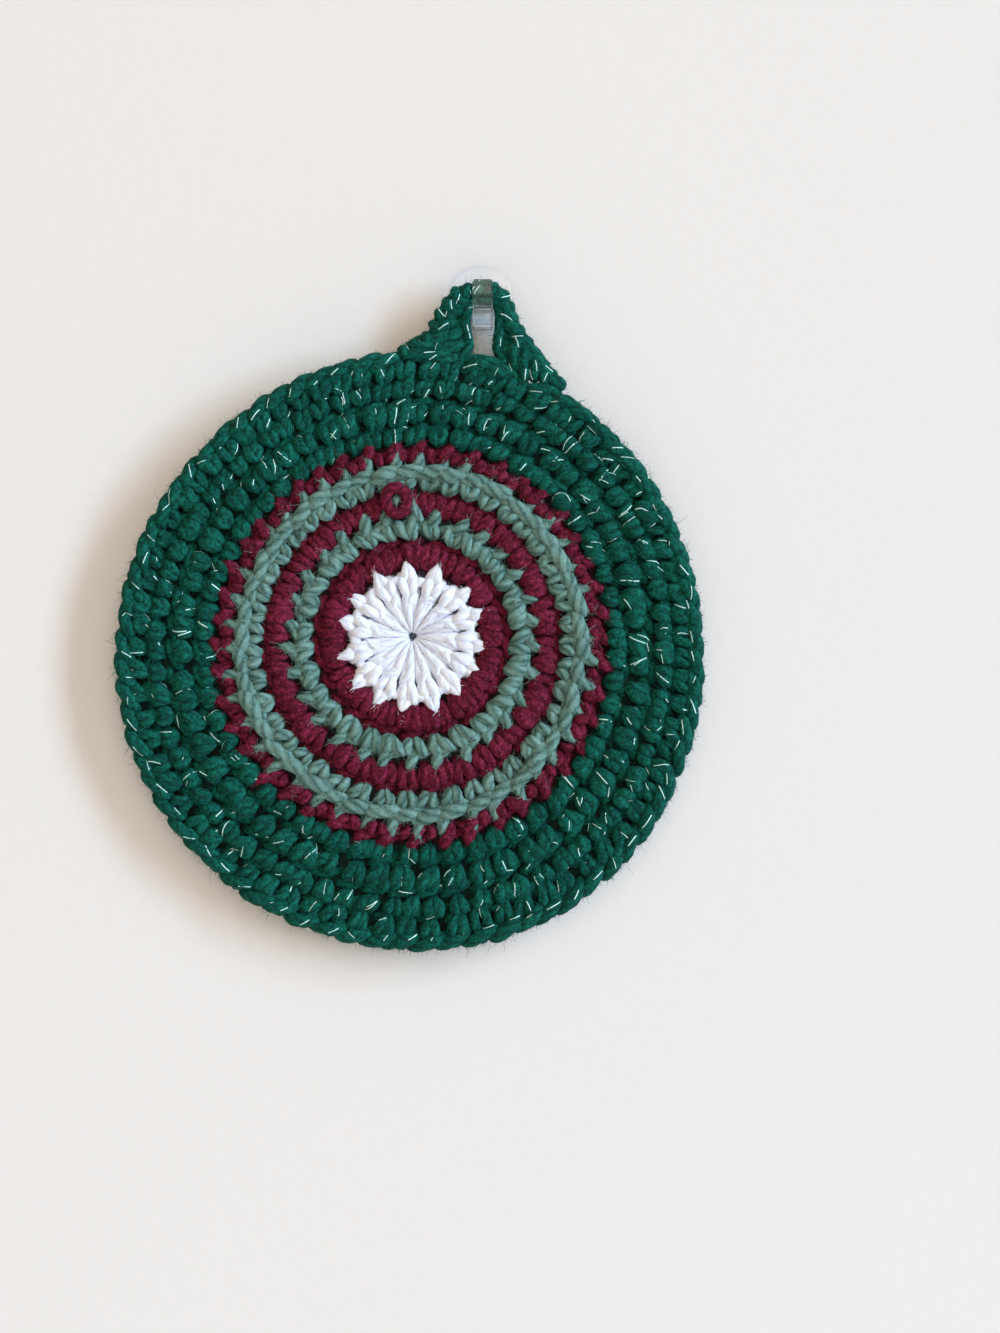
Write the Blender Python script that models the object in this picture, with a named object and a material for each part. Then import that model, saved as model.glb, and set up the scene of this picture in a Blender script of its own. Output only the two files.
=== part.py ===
"""A round crocheted pot holder hanging by its loop from a clear plastic wall hook.

The origin is the middle of the hook plate's back face, where it meets the wall. +Y goes into the
wall, +X is to the right and +Z is up, so the crocheted face looks along -Y. The disc hangs a
little to the left of its hook, as cloth often does, with its back just clear of the wall.
"""

import math
from collections import namedtuple

import bmesh
import bpy
from mathutils import Vector

MM = 0.001
GAP = 0.3 * MM

# The disc. Angles run clockwise from straight up, seen from the front.
STAR_X = -20.7 * MM
STAR_Z = -99.3 * MM
STAR_REACH = 20.0 * MM
DISC_RADIUS = 89.4 * MM
BACK_Y = -4.2 * MM
BASE_THICK = 4.0 * MM

# How the rounds grow uneven towards the rim: waves per turn, size at the rim, place of the crest.
Wave = namedtuple("Wave", "per_turn size crest_deg")
UNEVEN = (
    Wave(1, 5.1 * MM, 180),
    Wave(2, 1.0 * MM, 9),
    Wave(3, 0.9 * MM, 20),
)
SWAY = Wave(2, 0.9 * MM, 56)

# The rounds from the middle out: yarn, outer radius, height of the ridge over the base.
Round = namedtuple("Round", "yarn outer ridge")
ROUNDS = (
    Round("burgundy", 29.6 * MM, 1.0 * MM),
    Round("sage", 37.0 * MM, 1.3 * MM),
    Round("burgundy", 45.3 * MM, 1.1 * MM),
    Round("sage", 49.4 * MM, 0.9 * MM),
    Round("sage", 55.0 * MM, 1.7 * MM),
    Round("burgundy", 59.6 * MM, 0.9 * MM),
    Round("green", 67.2 * MM, 1.2 * MM),
    Round("green", 74.6 * MM, 1.3 * MM),
    Round("green", 81.8 * MM, 1.3 * MM),
)
SHOULDERS = (0.3, 0.7)

STAR_OUTER = 21.4 * MM
STAR_STITCHES = 15
STAR_TIP = 0.9 * MM
STAR_CREASE = 0.35 * MM
STAR_RIDGE = 1.5 * MM
STAR_DIMPLE = 1.0 * MM
STAR_RINGS = (3.0 * MM, 9.0 * MM, 15.5 * MM)

EDGE_STITCHES = 75
EDGE_LOBE = 0.6 * MM
EDGE_RIDGE = 1.3 * MM
EDGE_ROUNDING = 2.4 * MM

# The edge round's section, front to back: distance in from the rim in roundings, share of the depth
# from its crest to the back, share of the scallops.
EdgeRing = namedtuple("EdgeRing", "inset depth lobe")
EDGE_PROFILE = (
    EdgeRing(2.0, 0.0, 0.0),
    EdgeRing(0.8, 0.10, 0.6),
    EdgeRing(0.0, 0.42, 1.0),
    EdgeRing(0.3, 0.82, 0.8),
    EdgeRing(1.0, 1.0, 0.3),
)

# The lining, a round of woven cloth sewn to the back inside the edge round.
LINING_THICK = 1.0 * MM
LINING_INSET = 4.4 * MM
LINING_PUCKERS = 25
PUCKER_IN = 0.5 * MM
PUCKER_OUT = 0.5 * MM
LINING_RINGS = (30.0 * MM, 60.0 * MM)

# The hanging loop, a strip that rises from the rim, turns over the hook and comes back down.
LOOP_Y = -6.75 * MM
LOOP_HALF = 2.5 * MM
LOOP_STEPS = 3
LOOP_FEET_DEG = ((-5.0, 11.9), (36.0, 17.6))
Station = namedtuple("Station", "outer_x outer_z inner_x inner_z")
LOOP_STATIONS = (
    Station(-17.6, -8.2, -3.1, -11.4),
    Station(-14.6, -3.0, -3.1, -6.6),
    Station(-12.2, 1.6, -3.1, -2.4),
    Station(-8.0, 5.8, -2.2, -0.95),
    Station(0.2, 7.8, 0.9, -0.75),
    Station(6.6, 6.2, 3.8, -0.95),
    Station(9.9, 1.8, 4.2, -2.4),
    Station(12.5, -5.6, 4.2, -7.4),
    Station(17.4, -13.4, 4.4, -12.6),
)

# The loop's cross-section: share of the way from outer to inner edge, share of the half thickness.
LOOP_PROFILE = ((0.0, 0.0), (0.1, 0.72), (0.28, 1.0), (0.5, 0.84), (0.72, 1.0), (0.9, 0.72), (1.0, 0.0))

# The clear hook: a plate against the wall and a J-shaped arm.
PLATE_WIDE = 20.0 * MM
PLATE_TALL = 28.0 * MM
PLATE_THICK = 2.5 * MM
PLATE_CORNER = 9.0 * MM
PLATE_EDGE = 0.7 * MM
ARM_X = 0.6 * MM
ARM_WIDE = 6.0 * MM
ARM_THICK = 3.0 * MM
ARM_EDGE = 0.5 * MM
ARM_TIP_Z = 7.4 * MM
TROUGH_RADIUS = 4.25 * MM
TROUGH_Z = -1.2 * MM
ROOT_THICK = 4.8 * MM
ROOT_EMBED = 1.0 * MM
ARC_STEPS = 12

YARNS = {
    "white": (0.80, 0.80, 0.86),
    "burgundy": (0.19, 0.010, 0.026),
    "sage": (0.17, 0.35, 0.28),
    "green": (0.006, 0.10, 0.055),
}
LINING_COLOUR = (0.38, 0.40, 0.48)
PLASTIC_COLOUR = (0.86, 0.88, 0.88)


def clear_scene():
    for obj in list(bpy.data.objects):
        bpy.data.objects.remove(obj, do_unlink=True)


def make_material(name, colour, roughness, alpha=1.0):
    """A Principled material in one colour."""
    material = bpy.data.materials.new(name)
    material.use_nodes = True
    shader = material.node_tree.nodes["Principled BSDF"]
    shader.inputs["Base Color"].default_value = (*colour, 1.0)
    shader.inputs["Roughness"].default_value = roughness
    shader.inputs["Metallic"].default_value = 0.0
    shader.inputs["Alpha"].default_value = alpha
    return material


def add_object(name, bm, materials):
    """Turn a bmesh into a named, smooth-shaded object with its faces pointing out."""
    bmesh.ops.recalc_face_normals(bm, faces=bm.faces)
    mesh = bpy.data.meshes.new(name)
    bm.to_mesh(mesh)
    bm.free()
    for material in materials:
        mesh.materials.append(material)
    mesh.shade_smooth()
    mesh.set_sharp_from_angle(angle=math.radians(50))
    obj = bpy.data.objects.new(name, mesh)
    bpy.context.scene.collection.objects.link(obj)
    return obj


def smooth_step(value):
    value = min(max(value, 0.0), 1.0)
    return value * value * (3.0 - 2.0 * value)


def growth(rho):
    """How much of the rim's unevenness a round at this nominal radius has: 0 at the star."""
    return min(max((rho - STAR_REACH) / (DISC_RADIUS - STAR_REACH), 0.0), 1.0)


def uneven_radius(rho, theta):
    """The real radius, at this angle, of a round with nominal radius rho."""
    drift = sum(w.size * math.cos(w.per_turn * (theta - math.radians(w.crest_deg))) for w in UNEVEN)
    return rho + growth(rho) * drift


def clear_of_loop(theta):
    """1 along the free rim, falling to 0 where the loop's feet are worked into it."""
    left = LOOP_FEET_DEG[0][0]
    right = LOOP_FEET_DEG[1][0]
    middle = math.radians((left + right) / 2)
    half = math.radians((right - left) / 2)
    away = abs((theta - middle + math.pi) % math.tau - math.pi)
    return smooth_step((away - half) / math.radians(6))


def edge_lobe(theta):
    """The scallops of the edge round, left out under the loop."""
    return EDGE_LOBE * math.cos(EDGE_STITCHES * theta) * clear_of_loop(theta)


def sway(rho, theta):
    """How far the hanging disc bends towards the wall (+) or away from it (-)."""
    share = min(rho / DISC_RADIUS, 1.0) ** 2
    return SWAY.size * share * math.cos(SWAY.per_turn * (theta - math.radians(SWAY.crest_deg)))


def disc_point(rho, theta, y, extra=0.0):
    """A point of the disc at nominal radius rho, moved out by extra, at depth y before swaying."""
    radius = uneven_radius(rho, theta) + extra
    x = STAR_X + radius * math.sin(theta)
    z = STAR_Z + radius * math.cos(theta)
    return Vector((x, y + sway(rho, theta), z))


def turn(count):
    return [math.tau * i / count for i in range(count)]


def join_rings(bm, inner, outer, slot):
    """Faces between two closed rings, of equal counts or of 1 to 2."""
    count = len(inner)
    if len(outer) == count:
        for i in range(count):
            j = (i + 1) % count
            bm.faces.new((inner[i], inner[j], outer[j], outer[i])).material_index = slot
        return
    if len(outer) < count:
        inner, outer = outer, inner
        count = len(inner)
    for i in range(count):
        j = (i + 1) % count
        a, b, c = outer[2 * i], outer[2 * i + 1], outer[(2 * i + 2) % len(outer)]
        bm.faces.new((inner[i], b, a)).material_index = slot
        bm.faces.new((inner[i], inner[j], b)).material_index = slot
        bm.faces.new((inner[j], c, b)).material_index = slot


def close_ring(bm, ring, middle, slot):
    for i, vert in enumerate(ring):
        bm.faces.new((vert, ring[(i + 1) % len(ring)], middle)).material_index = slot


def build_crochet_face():
    """The whole crocheted disc: star, colour rounds and scalloped edge, in one closed body."""
    yarns = list(YARNS)
    bm = bmesh.new()
    base = BACK_Y - BASE_THICK
    coarse = turn(EDGE_STITCHES)
    fine = turn(2 * EDGE_STITCHES)

    def ring(rho, y, angles, out=lambda t: 0.0, up=lambda t: 0.0):
        return [bm.verts.new(disc_point(rho, t, y - up(t), out(t))) for t in angles]

    def legs(t):
        return STAR_CREASE * math.cos(STAR_STITCHES * t)

    def tips(t):
        return STAR_TIP * math.cos(STAR_STITCHES * t)

    white = yarns.index("white")
    middle = bm.verts.new(disc_point(0.0, 0.0, base - STAR_RIDGE + STAR_DIMPLE))
    last = ring(STAR_RINGS[0], base - STAR_RIDGE, coarse)
    close_ring(bm, last, middle, white)
    for rho in STAR_RINGS[1:]:
        following = ring(rho, base - STAR_RIDGE, coarse, up=legs)
        join_rings(bm, last, following, white)
        last = following
    following = ring(STAR_OUTER, base, coarse, out=tips)
    join_rings(bm, last, following, white)
    last = following

    inner = STAR_OUTER
    for row in ROUNDS:
        slot = yarns.index(row.yarn)
        width = row.outer - inner
        for share in SHOULDERS:
            following = ring(inner + share * width, base - row.ridge, coarse)
            join_rings(bm, last, following, slot)
            last = following
        following = ring(row.outer, base, coarse)
        join_rings(bm, last, following, slot)
        last = following
        inner = row.outer

    green = yarns.index("green")
    crest = base - EDGE_RIDGE
    depth = BACK_Y - crest
    for row in EDGE_PROFILE:
        rho = DISC_RADIUS - row.inset * EDGE_ROUNDING
        following = ring(rho, crest + row.depth * depth, fine, out=lambda t: row.lobe * edge_lobe(t))
        join_rings(bm, last, following, green)
        last = following
    for rho in reversed(LINING_RINGS):
        following = ring(rho, BACK_Y, coarse)
        join_rings(bm, last, following, green)
        last = following
    close_ring(bm, last, bm.verts.new(disc_point(0.0, 0.0, BACK_Y)), green)
    materials = [make_material(yarn + "_yarn", colour, 0.9) for yarn, colour in YARNS.items()]
    return add_object("crochet_face", bm, materials)


def build_lining():
    """A thin round of cloth behind the crochet, puckered between the stitches that hold its rim."""
    bm = bmesh.new()
    angles = turn(3 * LINING_PUCKERS)
    front_y = BACK_Y + GAP
    back_y = front_y + LINING_THICK
    rim = DISC_RADIUS - LINING_INSET

    def pucker(t):
        return 0.5 - 0.5 * math.cos(LINING_PUCKERS * t)

    def ring(rho, y, weight=0.0):
        points = []
        for t in angles:
            swell = weight * PUCKER_OUT * pucker(t)
            draw = -weight * PUCKER_IN * pucker(t)
            points.append(bm.verts.new(disc_point(rho, t, y + swell, draw)))
        return points

    last = ring(LINING_RINGS[0], front_y)
    close_ring(bm, last, bm.verts.new(disc_point(0.0, 0.0, front_y)), 0)
    sections = (
        (LINING_RINGS[1], front_y, 0.0),
        (rim - 0.5 * LINING_THICK, front_y, 1.0),
        (rim, (front_y + back_y) / 2, 1.0),
        (rim - 0.5 * LINING_THICK, back_y, 1.0),
        (LINING_RINGS[1], back_y, 0.0),
        (LINING_RINGS[0], back_y, 0.0),
    )
    for rho, y, weight in sections:
        following = ring(rho, y, weight)
        join_rings(bm, last, following, 0)
        last = following
    close_ring(bm, last, bm.verts.new(disc_point(0.0, 0.0, back_y)), 0)
    return add_object("lining", bm, [make_material("lining_cloth", LINING_COLOUR, 0.95)])


def rim_point(degrees):
    """A point just outside the disc's rim, where a foot of the loop is worked in."""
    theta = math.radians(degrees)
    return disc_point(DISC_RADIUS, theta, LOOP_Y, extra=GAP)


def loop_point(x, z):
    """A point in the loop's middle plane, which leaves the rim with its sway and then loses it."""
    across = x - STAR_X
    up = z - STAR_Z
    theta = math.atan2(across, up)
    radius = math.hypot(across, up)
    rise = radius - uneven_radius(DISC_RADIUS, theta)
    y = LOOP_Y + sway(DISC_RADIUS, theta) * (1.0 - smooth_step(rise / (10.0 * MM)))
    return Vector((x, y, z))


def foot_line(feet):
    """The points of one foot along the rim, from the loop's outer edge to its inner one."""
    outer, inner = feet
    return [rim_point(outer + share * (inner - outer)) for share, _ in LOOP_PROFILE]


def station_line(station):
    """The points across the loop at one station, from its outer edge to its inner one."""
    outer = Vector((station.outer_x * MM, 0.0, station.outer_z * MM))
    inner = Vector((station.inner_x * MM, 0.0, station.inner_z * MM))
    points = [outer.lerp(inner, share) for share, _ in LOOP_PROFILE]
    return [loop_point(p.x, p.z) for p in points]


def between(before, start, end, after, t):
    """A point on the smooth curve through four points in turn, between the middle two."""
    a = 2.0 * start
    b = end - before
    c = 2.0 * before - 5.0 * start + 4.0 * end - after
    d = 3.0 * start - before - 3.0 * end + after
    return 0.5 * (a + b * t + c * t * t + d * t ** 3)


def build_hanging_loop():
    """The tab: a strip swept from one foot on the rim, over the hook and down to the other."""
    lines = [foot_line(LOOP_FEET_DEG[0])]
    lines += [station_line(s) for s in LOOP_STATIONS]
    lines.append(foot_line(LOOP_FEET_DEG[1]))
    swept = []
    for i in range(len(lines) - 1):
        before = lines[max(i - 1, 0)]
        after = lines[min(i + 2, len(lines) - 1)]
        for step in range(LOOP_STEPS):
            t = step / LOOP_STEPS
            swept.append([between(*four, t) for four in zip(before, lines[i], lines[i + 1], after)])
    swept.append(lines[-1])

    bm = bmesh.new()
    rings = []
    for line in swept:
        front = []
        back = []
        for point, (_, share) in zip(line, LOOP_PROFILE):
            push = Vector((0.0, share * LOOP_HALF, 0.0))
            front.append(bm.verts.new(point - push))
            back.append(front[-1] if share == 0.0 else bm.verts.new(point + push))
        rings.append(front + back[-2:0:-1])
    count = len(rings[0])
    for one, two in zip(rings, rings[1:]):
        for i in range(count):
            j = (i + 1) % count
            bm.faces.new((one[i], one[j], two[j], two[i]))
    for ring in (rings[0], rings[-1]):
        last = len(LOOP_PROFILE) - 1
        for i in range(last):
            corners = [ring[i], ring[i + 1], ring[-i - 1], ring[-i]]
            bm.faces.new(list(dict.fromkeys(corners)))
    return add_object("hanging_loop", bm, [bpy.data.materials["green_yarn"]])


def extrude_outline(outline, along, rounded):
    """A closed body from a flat outline moved along a vector, and the edges of the caps to round."""
    bm = bmesh.new()
    cap = bm.faces.new([bm.verts.new(p) for p in outline])
    grown = bmesh.ops.extrude_face_region(bm, geom=[cap])
    moved = [v for v in grown["geom"] if isinstance(v, bmesh.types.BMVert)]
    bmesh.ops.translate(bm, verts=moved, vec=along)
    caps = [f for f in bm.faces if len(f.verts) == len(outline)]
    rims = list({e for f in caps if rounded(f) for e in f.edges})
    return bm, rims


def plate_outline():
    """The plate's rounded outline on the wall."""
    points = []
    for sx, sz, start in ((1, 1, 0), (-1, 1, 90), (-1, -1, 180), (1, -1, 270)):
        cx = sx * (PLATE_WIDE / 2 - PLATE_CORNER)
        cz = sz * (PLATE_TALL / 2 - PLATE_CORNER)
        for step in range(ARC_STEPS // 2 + 1):
            a = math.radians(start + 90 * step / (ARC_STEPS // 2))
            points.append(Vector((cx + PLATE_CORNER * math.cos(a), 0.0, cz + PLATE_CORNER * math.sin(a))))
    return points


def arm_outline():
    """The side view of the J: trough, arm, rounded tip and thick root, from inside the plate."""
    side = ARM_X - ARM_WIDE / 2
    back = -PLATE_THICK
    mid_y = back - TROUGH_RADIUS
    mid_z = TROUGH_Z + TROUGH_RADIUS
    inner_y = mid_y - TROUGH_RADIUS
    tip_radius = ARM_THICK / 2
    tip_z = ARM_TIP_Z - tip_radius
    root_z = TROUGH_Z - ROOT_THICK
    pairs = [(back + ROOT_EMBED, mid_z)]
    for step in range(ARC_STEPS + 1):
        a = math.pi * step / ARC_STEPS
        pairs.append((mid_y + TROUGH_RADIUS * math.cos(a), mid_z - TROUGH_RADIUS * math.sin(a)))
    for step in range(ARC_STEPS // 2 + 1):
        a = math.pi * step / (ARC_STEPS // 2)
        pairs.append((inner_y - tip_radius + tip_radius * math.cos(a), tip_z + tip_radius * math.sin(a)))
    for step in range(ARC_STEPS // 2 + 1):
        a = 0.5 * math.pi * step / (ARC_STEPS // 2)
        reach = TROUGH_RADIUS + ARM_THICK
        drop = mid_z - root_z
        pairs.append((mid_y - reach * math.cos(a), mid_z - drop * math.sin(a)))
    pairs.append((back + ROOT_EMBED, root_z))
    return [Vector((side, y, z)) for y, z in pairs]


def build_wall_hook():
    """Plate and arm, joined into one moulded body."""
    plastic = make_material("clear_plastic", PLASTIC_COLOUR, 0.08, alpha=0.35)

    plate, rims = extrude_outline(
        plate_outline(), Vector((0.0, -PLATE_THICK, 0.0)),
        lambda face: face.calc_center_median().y < -0.5 * PLATE_THICK)
    bmesh.ops.bevel(plate, geom=rims, offset=PLATE_EDGE, segments=2, profile=0.5, affect="EDGES")
    hook = add_object("wall_hook", plate, [plastic])

    arm, rims = extrude_outline(
        arm_outline(), Vector((ARM_WIDE, 0.0, 0.0)), lambda face: True)
    bmesh.ops.bevel(arm, geom=rims, offset=ARM_EDGE, segments=1, profile=0.5, affect="EDGES")
    helper = add_object("arm_to_join", arm, [plastic])
    helper.hide_render = True
    helper.display_type = "WIRE"

    join = hook.modifiers.new("join_arm", "BOOLEAN")
    join.operation = "UNION"
    join.solver = "EXACT"
    join.object = helper
    return hook


def build():
    clear_scene()
    build_crochet_face()
    build_lining()
    build_hanging_loop()
    build_wall_hook()


build()
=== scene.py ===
# %% [markdown]
# # A crocheted pot holder on its wall hook
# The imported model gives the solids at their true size: a ribbed disc, a hanging loop, a lining and
# a clear hook. This lesson dresses them. Every stitch is a real length of yarn swept along the path
# that a crochet hook would give it, so light, shadow and outline come from the yarn itself. A bump
# map on a flat disc would be quicker, but its rim would stay smooth and its gaps would stay bright.

import math
from collections import namedtuple

import bpy
import numpy as np
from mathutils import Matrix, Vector


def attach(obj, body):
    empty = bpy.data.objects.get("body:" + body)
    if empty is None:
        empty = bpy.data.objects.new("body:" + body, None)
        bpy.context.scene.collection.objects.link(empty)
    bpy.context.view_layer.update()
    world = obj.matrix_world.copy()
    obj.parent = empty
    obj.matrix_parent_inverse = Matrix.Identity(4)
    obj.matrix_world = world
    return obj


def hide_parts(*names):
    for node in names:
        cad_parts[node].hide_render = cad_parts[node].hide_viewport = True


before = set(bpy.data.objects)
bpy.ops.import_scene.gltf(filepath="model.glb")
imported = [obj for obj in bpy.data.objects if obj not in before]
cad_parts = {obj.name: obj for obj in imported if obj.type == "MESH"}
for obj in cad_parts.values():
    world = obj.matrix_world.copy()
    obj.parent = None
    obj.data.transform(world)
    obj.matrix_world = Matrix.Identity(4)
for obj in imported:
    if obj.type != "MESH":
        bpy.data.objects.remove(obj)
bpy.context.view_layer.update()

# %% [markdown]
# ## The plan of the disc
# These sizes repeat the ones that the solids were built from. Angles run clockwise from straight
# up, seen from the front. A handmade round drifts: it is a little wider towards the bottom, and its
# rim is not a true circle. Scaling the finished disc would stretch its stitches, so each round takes
# its share of the same few slow waves instead.

# %% Sizes of the disc
MM = 0.001
STAR_X = -20.7 * MM
STAR_Z = -99.3 * MM
STAR_REACH = 20.0 * MM
DISC_RADIUS = 89.4 * MM
MIDDLE_Y = -6.6 * MM

Wave = namedtuple("Wave", "per_turn size crest_deg")
UNEVEN = (
    Wave(1, 5.1 * MM, 180),
    Wave(2, 1.0 * MM, 9),
    Wave(3, 0.9 * MM, 20),
)
SWAY = Wave(2, 0.9 * MM, 56)


def wave(w, theta):
    return w.size * np.cos(w.per_turn * (theta - math.radians(w.crest_deg)))


def on_disc(theta, rho, lift):
    """World points from an angle, a nominal radius and a lift off the middle plane to the front."""
    grown = np.clip((rho - STAR_REACH) / (DISC_RADIUS - STAR_REACH), 0.0, None)
    radius = rho + grown * sum(wave(w, theta) for w in UNEVEN)
    share = np.clip(rho / DISC_RADIUS, 0.0, 1.0) ** 2
    y = MIDDLE_Y - lift + share * wave(SWAY, theta)
    return np.stack([STAR_X + radius * np.sin(theta), y, STAR_Z + radius * np.cos(theta)], axis=-1)


print("radius of the disc, mm:", round(DISC_RADIUS / MM, 1))

# %% [markdown]
# ## Smooth lines through a few knots
# A strand's path is set down as a handful of knots, small enough to be thought out one by one. A
# smooth curve then runs through them. Blender's own curves could do it one at a time, but here all
# the strands of a round are worked out together as arrays, which is much quicker.

# %% Lines through knots
STEPS = 3
random = np.random.default_rng(11)


def jitter(shape, size):
    """Random numbers between -size and size."""
    return size * (2.0 * random.random(shape) - 1.0)


def columns(table):
    """The columns of a table of knots, each as one row that all strands share."""
    return (np.array(column)[None] for column in zip(*table))


def smooth(knots, steps=STEPS):
    """A smooth line through each strand's knots: (strands, knots, n) in, more points out."""
    first = 2.0 * knots[:, :1] - knots[:, 1:2]
    last = 2.0 * knots[:, -1:] - knots[:, -2:-1]
    p = np.concatenate([first, knots, last], axis=1)
    a, b, c, d = (p[:, i:p.shape[1] - 3 + i, None] for i in range(4))
    t = (np.arange(steps) / steps)[None, None, :, None]
    curve = 0.5 * (2 * b + (c - a) * t + (2 * a - 5 * b + 4 * c - d) * t ** 2
                   + (3 * b - a - 3 * c + d) * t ** 3)
    flat = curve.reshape(len(knots), -1, knots.shape[2])
    return np.concatenate([flat, knots[:, -1:]], axis=1)


def line_through(place, first, second, third, steps=STEPS):
    """World points of smooth lines whose knots are given in the three measures of a place."""
    knots = np.stack(np.broadcast_arrays(first, second, third), axis=-1)
    path = smooth(knots, steps)
    return place(path[..., 0], path[..., 1], path[..., 2])


def thickness(thick, count):
    """One row of thicknesses at the knots, smoothed like a path and given to every strand."""
    return smooth(np.repeat(thick[..., None], count, axis=0))[..., 0]


print("points from five knots:", smooth(np.zeros((1, 5, 3))).shape[1])

# %% [markdown]
# ## Yarn
# Yarn is a few plies twisted together, soft enough to flatten where it lies on the next strand.
# Each strand is swept here as a tube of twelve sides whose radius rises and falls with four plies.
# A curve object with a bevel could do it too, but it has no plies, and one mesh for each round
# keeps thousands of strands light. Each corner of the mesh also keeps how far along and how far
# round the yarn it is, which the yarn's finish reads.

# %% Directions along a strand
FRONT = np.array([0.0, -1.0, 0.0])
OFF_FRONT = 0.05  # so that a strand that runs straight to the front has a normal too


def unit(v):
    return v / np.maximum(np.linalg.norm(v, axis=-1, keepdims=True), 1e-12)


def directions(points):
    """The running direction of each line and a normal that starts at the front and never spins."""
    along = unit(np.gradient(points, axis=1))
    normal = np.empty_like(points)
    last = np.broadcast_to(FRONT, points[:, 0].shape) + OFF_FRONT
    for i in range(points.shape[1]):
        last = unit(last - np.sum(last * along[:, i], axis=-1, keepdims=True) * along[:, i])
        normal[:, i] = last
    return along, normal


# %% Swept yarn
SIDES = 12
PLIES = 4
PLY_DEPTH = 0.03  # these two as shares of the radius
ROUGH = 0.055
LAY = 17.0 * MM  # the plies turn once over this length
FLATTEN = 0.88


class Yarn:
    """Swept strands, kept as arrays so that other steps can find their surface again."""

    def __init__(self, core, radius, flatten=FLATTEN):
        count, rings = core.shape[:2]
        along, normal = directions(core)
        across = np.cross(along, normal)
        step = np.linalg.norm(np.diff(core, axis=1), axis=-1)
        run = np.concatenate([np.zeros((count, 1)), np.cumsum(step, axis=1)], axis=1)
        angle = math.tau * np.arange(SIDES) / SIDES
        turn = random.random((count, 1))
        ply = PLIES * (angle / math.tau)[None, None] + PLIES * (run / LAY + turn)[..., None]
        rough = jitter((count, rings, SIDES), ROUGH)
        shape = radius[..., None] * (1.0 + PLY_DEPTH * np.cos(math.tau * ply) + rough)
        up = -np.cos(angle) * shape * flatten
        out = np.sin(angle) * shape
        up_by = up[..., None] * normal[:, :, None]
        out_by = out[..., None] * across[:, :, None]
        self.points = core[:, :, None] + up_by + out_by
        self.core, self.radius, self.flatten = core, radius, flatten
        self.along, self.normal, self.across = along, normal, across
        self.run, self.turn = run, turn
        self.strand = random.random(count)

    def surface(self, strand, ring, angle, off):
        """A point on the yarn and the way out of it there. angle pi is the front."""
        up = -np.cos(angle)[..., None] * self.normal[strand, ring]
        out = up + np.sin(angle)[..., None] * self.across[strand, ring]
        reach = self.radius[strand, ring] * self.flatten + off
        return self.core[strand, ring] + out * reach[..., None], out

    def mesh_data(self):
        """Vertices, quads and, for each corner of a quad, how far along and round the yarn it is."""
        count, rings = self.points.shape[:2]
        ring, side = np.meshgrid(np.arange(rings - 1), np.arange(SIDES), indexing="ij")
        tube_ring = np.stack([ring, ring, ring + 1, ring + 1], axis=-1).ravel()
        tube_side = np.stack([side, side + 1, side + 1, side], axis=-1).ravel()
        half = np.arange(SIDES // 2 - 1)
        cap = np.stack([half, half + 1, SIDES - 2 - half, SIDES - 1 - half], axis=-1)
        corner_ring = np.concatenate([tube_ring, 0 * cap.ravel(), 0 * cap.ravel() + rings - 1])
        corner_side = np.concatenate([tube_side, cap[:, ::-1].ravel(), cap.ravel()])
        quads = (corner_ring * SIDES + corner_side % SIDES).reshape(-1, 4)
        faces = quads[None] + (np.arange(count) * rings * SIDES)[:, None, None]
        run = self.run[:, corner_ring]
        ply = PLIES * (corner_side / SIDES + run / LAY + self.turn)
        strand = np.broadcast_to(self.strand[:, None], run.shape)
        marks = np.stack([run / MM, ply, strand], axis=-1)
        return self.points.reshape(-1, 3), faces.reshape(-1, 4), marks.reshape(-1, 3)


def even_yarn(core, thick):
    """Strands of one radius, in mm, from end to end."""
    return Yarn(core, np.full(core.shape[:2], thick * MM))


print("sides and plies of the yarn:", SIDES, PLIES)

# %% [markdown]
# ## Fibres
# Acrylic yarn isn't smooth: a short fuzz covers it, and here and there a longer hair stands off.
# Blender's hair could grow both, but a model that is to be exported needs meshes. So each bit of
# fuzz is one thin triangle, and each hair a ribbon of two segments with a bend between them.

# %% Where fibres grow
MARK_SPREAD = 50.0  # mm of yarn over which the finish differs from one fibre to the next


def more_than(least, more, total):
    """One random number for each fibre, from least up to least + more."""
    return least + more * random.random((total, 1))


def fibre_roots(yarn, each, inset, fan, sunk):
    """Random places on random strands, up to fan radians to either side of their front."""
    count, rings = yarn.core.shape[:2]
    total = count * each
    strand = random.integers(0, count, total)
    ring = random.integers(inset, rings - 1 - inset, total)
    angle = math.pi + jitter(total, fan)
    root, out = yarn.surface(strand, ring, angle, -sunk)
    return root, out, yarn.along[strand, ring]


class Fibres:
    """Many small loose shapes with the same faces. Their tone runs from dark to light."""

    def __init__(self, points, faces, dark, light):
        self.points, self.faces = points, np.array(faces)
        self.dark, self.light = dark, light

    def mesh_data(self):
        count, corners = self.points.shape[:2]
        faces = self.faces[None] + corners * np.arange(count)[:, None, None]
        marks = np.zeros((count, self.faces.size, 3))
        marks[:, :, 0] = more_than(0.0, MARK_SPREAD, count)
        marks[:, :, 2] = more_than(self.dark, self.light - self.dark, count)
        return self.points.reshape(-1, 3), faces.reshape(-1, self.faces.shape[1]), marks.reshape(-1, 3)


# %% Fuzz
FUZZ_EACH = 70
FUZZ_LONG = 1.5 * MM
FUZZ_WIDE = 0.13 * MM
FUZZ_SUNK = 0.06 * MM
FUZZ_FAN = 2.1  # radians to either side of the front
FUZZ_ASIDE = 0.6
TRIANGLE = ((0, 1, 2),)


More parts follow.
